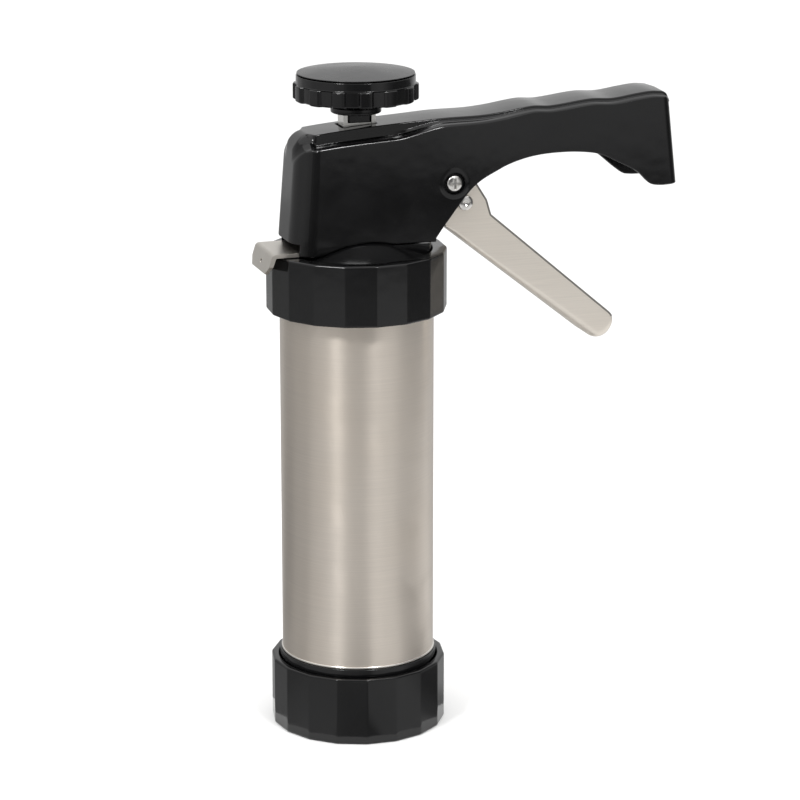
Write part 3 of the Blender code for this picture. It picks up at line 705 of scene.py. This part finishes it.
screw = link("pivot_head", build_mesh("pivot_head", across(lathe([
    (0, -13.0), (2.0, -13.0), (2.0, 12.3), (2.55, 12.3), (2.65, 12.45), (2.66, 12.75), (2.56, 13.0),
    (2.3, 13.2), (1.9, 13.38), (1.4, 13.5), (0.7, 13.58), (0, 13.6)], sides=72), *PIVOT), BRIGHT))
px, pz = PIVOT
carve(screw, [('DIFFERENCE', box((px - a, -15.0, pz - b), (px + a, -12.9, pz + b)))
              for a, b in ((CROSS_LENGTH, CROSS_WIDTH), (CROSS_WIDTH, CROSS_LENGTH))])
bevel(screw, 0.12, 2, 50)
finish_piece(screw, "head", ["pivot_screw"])
add("pivot_cap_nut", across(lathe(rounded([
    (2.3, -13.3, 0.1), (2.75, -13.3, 0.35), (3.2, -12.9, 0.2), (3.2, -12.3, 0.1), (2.3, -12.3, 0.1)]),
    sides=72), *PIVOT), BRIGHT, "head", ["pivot_nut"])


# ------------------------------------------------------------------ trigger

def lever_path():
    """Lower edge of the lever from its root to the tip, then round the tip: ((x, z), inward, bend radius)."""
    root, tip = Vector(LEVER_ROOT), Vector(LEVER_TIP)
    edge_steps, tip_steps = 30, 20
    round_tip = [Vector(p) for p in arc((0.0, 0.0), 1.0, TIP_START, TIP_END, tip_steps)]
    toe = tip + round_tip[0] * LEVER_TIP_R
    path = []
    for k in range(edge_steps):
        t = k / edge_steps
        path.append((root.lerp(toe, t), -round_tip[0], mix(0.4, 1.3, smooth(t, 0.0, 0.06))
                     + 1.4 * smooth(t, 0.1, 1.0)))
    for k, out in enumerate(round_tip):
        path.append((tip + out * LEVER_TIP_R, -out, mix(2.7, 0.3, smooth(k / tip_steps, 0.5, 1.0))))
    return path


def lever_free_edge():
    """The cheek's free contour, from the tip back over the neck and the arm to the root."""
    # The nose is the inner end that pushes the drive plate.
    nose = on_circle(PIVOT, 18.0, 164.0)
    corners = [(*on_circle(LEVER_TIP, LEVER_TIP_R, TIP_END), 0.0),
               (43.2, 170.6, 0.6), (41.7, 175.6, 2.0), (38.4, 180.8, 2.0)]
    corners += [(a, b, 0.0) for a, b in arc(PIVOT, 7.6, 0, 95, 12)]
    corners += [(a, b, 0.0) for a, b in arc(nose, 2.5, 85, 268, 14)]
    corners += [(nose[0] + 5.2, nose[1] - 2.5, 1.0), (22.5, 180.2, 1.5), (24.2, 172.0, 2.0),
                (*LEVER_ROOT, 0.0)]
    outline = []
    for k, corner in enumerate(corners):
        if corner[2] <= 0 or k in (0, len(corners) - 1):
            outline.append(corner[:2])
        else:
            outline += bend_points(corners[k - 1][:2], corner[:2], corners[k + 1][:2], corner[2], 5)
    return outline


def lever_shape():
    """The outside skin of the folded lever: web and bends as strips, cheeks as flat faces with holes."""
    points, faces, rows = [], [], []
    for at, inward, radius in lever_path():
        row = []
        bend = [(-CHEEK + radius - radius * math.cos(a), radius - radius * math.sin(a))
                for a in [math.radians(90 * k / 8) for k in range(9)]]
        section = bend + [(0.0, 0.0)] + [(-y, h) for y, h in reversed(bend)]
        for y, h in section:
            spot = at + inward * h
            row.append(len(points))
            points.append((spot.x, y, spot.y))
        rows.append(row)
    for a, b in zip(rows, rows[1:]):
        faces += [(a[k], a[k + 1], b[k + 1], b[k]) for k in range(len(a) - 1)]
    free = lever_free_edge()
    holes = [arc(PIVOT, PIVOT_HOLE, 0, 360, 40)[:-1], arc(RIVET, RIVET_HOLE, 0, 360, 32)[:-1]]
    for side, column in ((-1, 0), (1, -1)):
        rim = [(points[row[column]][0], points[row[column]][2]) for row in rows]
        loops = [rim + free[1:-1]] + holes
        flat = [[Vector((a, b, 0.0)) for a, b in loop] for loop in loops]
        base = len(points)
        points += [(a, side * CHEEK, b) for loop in loops for a, b in loop]
        faces += [tuple(base + k for k in triangle) for triangle in tessellate_polygon(flat)]
    return points, faces


lever = link("lever", build_mesh("lever", lever_shape(), SHEET))
skin = lever.modifiers.new("sheet", 'SOLIDIFY')
skin.thickness = LEVER_T * MM
skin.offset = -1.0
skin.use_even_offset = True
skin.use_rim = True
apply_modifiers(lever)
bevel(lever, 0.28, 3, 50)
finish_piece(lever, "trigger", ["trigger_lever"], 35)


def lever_edge(side):
    """The rolled burr that follows a cheek's free edge from the tip up to the neck."""
    neck = 37.5
    line = arc(LEVER_TIP, LEVER_TIP_R, 28, 40, 2) + [p for p in lever_free_edge() if p[0] > neck]
    points, rings, sides = [], [], 10
    for k, (x, z) in enumerate(line):
        ahead = Vector(line[min(k + 1, len(line) - 1)]) - Vector(line[max(k - 1, 0)])
        inward = Vector((-ahead.y, ahead.x)).normalized()
        rings.append(list(range(len(points), len(points) + sides)))
        for j in range(sides):
            a = 2 * math.pi * j / sides
            shift = 0.3 + BURR_RADIUS * math.cos(a)
            points.append((x + inward.x * shift, side * (CHEEK - 0.12) + BURR_RADIUS * math.sin(a),
                           z + inward.y * shift))
    faces = [tuple(rings[0]), tuple(reversed(rings[-1]))]
    for a, b in zip(rings, rings[1:]):
        faces += [(a[k], a[(k + 1) % sides], b[(k + 1) % sides], b[k]) for k in range(sides)]
    return points, faces


# The burrs use the darkened steel, which is painted shade along the cheeks' free edges.
add("lever_edge_near", lever_edge(-1), EDGE_PAINTED_SHADE, "trigger")
add("lever_edge_far", lever_edge(1), EDGE_PAINTED_SHADE, "trigger")

# The rivet's near end by radius and height, with a dimple in its middle; the far end mirrors it.
rivet_side = [(1.7, CHEEK), (2.5, 8.75), (2.62, 8.9), (2.6, 9.15), (2.35, 9.45), (1.9, 9.68), (1.4, 9.8),
              (1.05, 9.82), (0.8, 9.7), (0.55, 9.45), (0.25, 9.3), (0.0, 9.27)]
rivet_profile = [(r, -h) for r, h in reversed(rivet_side)] + rivet_side
add("lever_rivet_domed", across(lathe(rivet_profile, sides=72), *RIVET), BRIGHT, "trigger",
    ["lever_rivet"])


# ------------------------------------------------------------------ release plate

# Seen from the side: a flat plate under the housing, bent down at the front into the tab.
PLATE_HALF = 10.2
release_outline = rounded([(15.0, 161.3, 0.2), (15.0, 162.5, 0.2), (-30.9, 162.5, 1.5), (-33.0, 155.9, 0.2),
                           (-31.8, 155.55, 0.2), (-29.75, 161.3, 0.5)], 5)
release_shape = prism(release_outline, -PLATE_HALF, PLATE_HALF)
release = link("release_tab", build_mesh("release_tab", release_shape, PLATE))
corner_cuts = []
for side in (-1, 1):
    triangle = [(side * 6.2, 154.55), (side * 13.2, 154.55), (side * 13.2, 161.55)]
    corner_cuts.append(('DIFFERENCE', prism(triangle, -36.0, -28.5, 'X')))
tab_hole = prism(arc((0.0, 158.8), 0.65, 0, 360, 32)[:-1], -37.0, -27.0, 'X')
carve(release, corner_cuts + [('DIFFERENCE', tab_hole),
                              ('DIFFERENCE', slab((-6.6, 6.6), (-4.8, 4.8), (150, 180), 0.4))])
bevel(release, 0.2, 3, 50)
finish_piece(release, "release", ["release_plate"], 35)


# ------------------------------------------------------------------ rod and knob

def rod_shape():
    """Folded channel, open towards -Y, with ratchet teeth along its two free edges."""
    side, back, wall = 5.4, 4.0, 1.4

    def section(z, edge):
        half = [(side, edge)] + bend_points((side, edge), (side, back), (0, back), 1.9, 5)
        inner = bend_points((0, back - wall), (side - wall, back - wall), (side - wall, edge), 0.5, 5)
        inner.append((side - wall, edge))
        outer_left = [(-a, b) for a, b in reversed(half)]
        inner_left = [(-a, b) for a, b in reversed(inner)]
        return [(a, b, z) for a, b in half + outer_left + inner_left + inner]

    stations = [section(ROD_FOOT, -back)]
    z = TEETH_FOOT
    while z < TEETH_TOP:
        stations += [section(z, -back + TOOTH_DEPTH), section(z + TOOTH_RISE, -back)]
        z += TOOTH_PITCH
    stations.append(section(ROD_TOP, -back))
    points = [p for s in stations for p in s]
    count = len(stations[0])
    faces = [tuple(range(count)), tuple(reversed(range(len(points) - count, len(points))))]
    for s in range(len(stations) - 1):
        faces += [(s * count + k, s * count + (k + 1) % count, (s + 1) * count + (k + 1) % count,
                   (s + 1) * count + k) for k in range(count)]
    return points, faces


rod = link("rod_channel", build_mesh("rod_channel", rod_shape(), ROD))
foot_plug = box((-5.0, -3.6, ROD_FOOT), (5.0, 3.6, ROD_FOOT + 2.0))
front_lip = box((-4.2, -3.7, 190.0), (4.2, -2.6, 202.3))
carve(rod, [('UNION', foot_plug), ('UNION', front_lip)])
finish_piece(rod, "plunger", ["plunger_rod"], 30)

stem_block = slab((-3.7, 3.7), (-3.8, 2.3), (202.5, 206.2), 0.5)
stem_flange = rounded([(0, 205.2, 0), (8.2, 205.2, 0.6), (8.2, 207.2, 0.3), (0, 207.2, 0)])
stem = link("stem", build_mesh("stem", stem_block, GLOSS))
carve(stem, [('UNION', lathe(stem_flange, sides=96))])
finish_piece(stem, "plunger", ["knob_stem"], 30)

knob_profile = rounded([
    (2.3, KNOB_FOOT, 0.1, False), (8.0, KNOB_FOOT, 0.4, False), (8.1, 209.8, 0.4, False),
    (15.5, 209.8, 0.3, False), (19.5, 209.4, 0.3, True), (KNOB_RADIUS, 209.9, 0.4, True),
    (KNOB_RADIUS, 214.6, 0.55, True), (KNOB_ROOT + 0.05, 214.85, 0.25, False),
    (KNOB_ROOT, KNOB_TOP, 0.25, False), (5.0, KNOB_TOP, 0.2, False), (5.0, 211.0, 0.2, False),
    (2.3, 211.0, 0.1, False)])
add("knob", lathe(knob_profile, rib_plan(KNOB_RADIUS, KNOB_ROOT, KNOB_RIBS, -97.5)), GLOSS, "plunger",
    ["knob_body"], 30)
cap_profile = [(0, 217.8), (18.6, 217.8), (18.8, 217.85), (18.95, 218.0), (CAP_RADIUS, 218.12)]
cap_profile += [(r, CAP_TOP - 1.85 * (r / CAP_RADIUS) ** 1.4) for r in [18.6 - 0.93 * k for k in range(20)]]
cap_profile.append((0, CAP_TOP))
add("knob_dome", lathe(cap_profile), SATIN, "plunger", ["knob_cap"], 30)


# ------------------------------------------------------------------ CAD nodes that stay in view

CAD_LOOKS = {
    "head_gasket": RUBBER, "die_gasket": RUBBER, "piston_seal": RUBBER, "piston": SATIN,
    "spring_plate": PLATE, "drive_plate": PLATE, "drive_spring": BRIGHT, "release_spring": BRIGHT,
    "lower_washer": BRIGHT, "upper_washer": BRIGHT, "piston_bolt": BRIGHT, "piston_nut": BRIGHT,
    "knob_pin": BRIGHT, "knob_screw": BRIGHT}
for node_name, look in CAD_LOOKS.items():
    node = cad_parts[node_name]
    node.data.materials.clear()
    node.data.materials.append(look)


# ------------------------------------------------------------------ studio

def stage_mesh(name, points, faces, material):
    """A mesh in metres that belongs to the studio and not to the object."""
    mesh = bpy.data.meshes.new(name)
    mesh.from_pydata(points, [], faces)
    mesh.materials.append(material)
    item = link(name, mesh)
    return item


def floor_material():
    nodes = Nodes("pale_floor")
    cloud = nodes.noise(nodes.place, 3.0, 2.0)
    colour = nodes.blend(cloud, (0.90, 0.90, 0.895, 1.0), (0.92, 0.92, 0.915, 1.0))
    rough = nodes.span(cloud, 0.3, 0.7, 0.75, 0.85)
    return nodes.set(Base_Color=colour, Roughness=rough)


def card_material(stops):
    """Emission that changes with the direction round the object. stops are (degrees, level), measured
    from the direction of the camera, turning towards the right of the picture."""
    nodes = Nodes("reflection_card")
    tree = nodes.tree
    tree.nodes.remove(nodes.shader)
    parts = tree.nodes.new('ShaderNodeSeparateXYZ')
    tree.links.new(nodes.place, parts.inputs[0])
    angle = nodes.math('ARCTAN2', parts.outputs['X'], nodes.math('MULTIPLY', parts.outputs['Y'], -1.0))
    share = nodes.math('ADD', nodes.math('DIVIDE', angle, 2 * math.pi), 0.5)
    ramp = tree.nodes.new('ShaderNodeValToRGB')
    ramp.color_ramp.interpolation = 'EASE'
    elements = ramp.color_ramp.elements
    while len(elements) > 1:
        elements.remove(elements[-1])
    elements[0].position, elements[0].color = 0.0, (*[stops[0][1]] * 3, 1.0)
    for degrees, level in stops[1:]:
        elements.new((degrees + 180.0) / 360.0).color = (level, level, level, 1.0)
    tree.links.new(share, ramp.inputs[0])
    glow = tree.nodes.new('ShaderNodeEmission')
    tree.links.new(ramp.outputs[0], glow.inputs['Color'])
    tree.links.new(glow.outputs[0], tree.nodes['Material Output'].inputs['Surface'])
    return nodes.material


FLOOR = 6.0
stage_mesh("floor", [(-FLOOR, -FLOOR, 0), (FLOOR, -FLOOR, 0), (FLOOR, FLOOR, 0), (-FLOOR, FLOOR, 0)],
           [(0, 1, 2, 3)], floor_material())

# What the surround shows by direction: on the floor close by and far off, on the floor between them,
# which the barrel mirrors, at the foot of the wall, and on the wall.
FLOOR_GLOW = [(-180, 0.40), (-166, 0.40), (-148, 0.42), (-138, 0.38), (-120, 0.36), (-98, 0.40), (-80, 0.38),
              (-66, 0.54), (-50, 0.62), (-24, 0.66), (-17, 0.42), (-4, 0.34), (15, 0.27), (21, 0.66),
              (38, 0.74), (58, 0.72), (66, 0.46), (78, 0.24), (92, 0.12), (106, 0.28), (122, 0.50),
              (140, 0.52), (160, 0.42), (180, 0.45)]
TUBE_GLOW = [(-180, 0.45), (-166, 0.52), (-148, 0.48), (-138, 0.26), (-120, 0.25), (-98, 0.38), (-80, 0.40),
             (-66, 0.56), (-50, 0.58), (-24, 0.64), (-17, 0.76), (-4, 0.82), (15, 0.76), (21, 0.68),
             (38, 0.72), (58, 0.76), (66, 0.78), (78, 0.86), (92, 0.88), (106, 0.90), (122, 0.86),
             (140, 0.62), (160, 0.5), (180, 0.45)]
LOW_GLOW = [(-180, 0.38), (-150, 0.42), (-120, 0.38), (-90, 0.34), (-60, 0.22), (-40, 0.12), (-20, 0.08),
            (0, 0.05), (60, 0.05), (80, 0.08), (100, 0.15), (140, 0.40), (180, 0.38)]
WALL_GLOW = [(-180, 0.80), (-150, 0.62), (-120, 0.50), (-90, 0.52), (-50, 0.60), (-28, 0.50), (-14, 0.22),
             (0, 0.14), (23, 0.14), (31, 0.56), (48, 0.66), (62, 0.40), (75, 0.12), (105, 0.12), (128, 0.60),
             (150, 0.80), (180, 0.80)]


def surround(name, rings, material):
    """Rings of (radius, height) in metres round the barrel that only glossy reflections see."""
    sides, points, faces = 180, [], []
    for radius, height in rings:
        for k in range(sides):
            a = 2 * math.pi * k / sides
            points.append((radius * math.sin(a), -radius * math.cos(a), height))
    for r in range(len(rings) - 1):
        for k in range(sides):
            n = (k + 1) % sides
            faces.append((r * sides + k, r * sides + n, (r + 1) * sides + n, (r + 1) * sides + k))
    bowl = stage_mesh(name, points, faces, material)
    bowl.location = (AXIS_X * MM, 0.0, 0.0)
    bowl.rotation_euler = (0.0, 0.0, VIEW_AZIMUTH)
    bowl.visible_camera = False
    bowl.visible_diffuse = False
    bowl.visible_shadow = False
    bowl.visible_transmission = False


LIFT = 0.0006
surround("reflection_near", [(0.034, LIFT), (0.1, LIFT)], card_material(FLOOR_GLOW))
surround("reflection_middle", [(0.1, LIFT), (0.3, LIFT), (0.48, LIFT)], card_material(TUBE_GLOW))
surround("reflection_far", [(0.48, LIFT), (0.6, LIFT)], card_material(FLOOR_GLOW))
surround("reflection_foot", [(0.6, 0.0008), (0.61, 0.004), (0.61, 0.03)], card_material(FLOOR_GLOW))
surround("reflection_low_wall", [(0.61, 0.03), (0.61, 0.08)], card_material(LOW_GLOW))
surround("reflection_wall", [(0.61, 0.08), (0.63, 0.62)], card_material(WALL_GLOW))

world = bpy.data.worlds.new("studio")
world.use_nodes = True
sky = world.node_tree.nodes["Background"]
sky.inputs["Color"].default_value = (1.0, 1.0, 1.0, 1.0)
sky.inputs["Strength"].default_value = 1.15
bpy.context.scene.world = world


def soft_light(name, azimuth, elevation, distance, size, power):
    """A disc light aimed at the middle of the object; azimuth is from the camera, + to the right."""
    a, e = VIEW_AZIMUTH + math.radians(azimuth), math.radians(elevation)
    target = Vector((AXIS_X * MM + 0.02, 0.0, 0.14))
    back = Vector((math.sin(a) * math.cos(e), -math.cos(a) * math.cos(e), math.sin(e)))
    lamp = bpy.data.lights.new(name, 'AREA')
    lamp.shape = 'DISK'
    lamp.size = size
    lamp.energy = power
    item = bpy.data.objects.new(name, lamp)
    bpy.context.scene.collection.objects.link(item)
    item.location = target + back * distance
    item.rotation_euler = (-back).to_track_quat('-Z', 'Y').to_euler()
    item.visible_camera = False


soft_light("key_left", -38.0, 48.0, 0.9, 0.16, 3.0)
soft_light("key_right", 30.0, 55.0, 0.9, 0.16, 2.4)

camera = bpy.data.cameras.new("camera")
camera.lens = CAMERA_LENS
camera.sensor_width = 36.0
camera.clip_start, camera.clip_end = 0.02, 60.0
eye = bpy.data.objects.new("camera", camera)
bpy.context.scene.collection.objects.link(eye)
eye.location = (AXIS_X * MM + math.sin(VIEW_AZIMUTH) * CAMERA_DISTANCE,
                -math.cos(VIEW_AZIMUTH) * CAMERA_DISTANCE, CAMERA_HEIGHT)
eye.rotation_euler = (math.radians(CAMERA_TILT), 0.0, math.radians(CAMERA_TURN))
bpy.context.scene.camera = eye
bpy.context.scene.view_settings.view_transform = 'Standard'
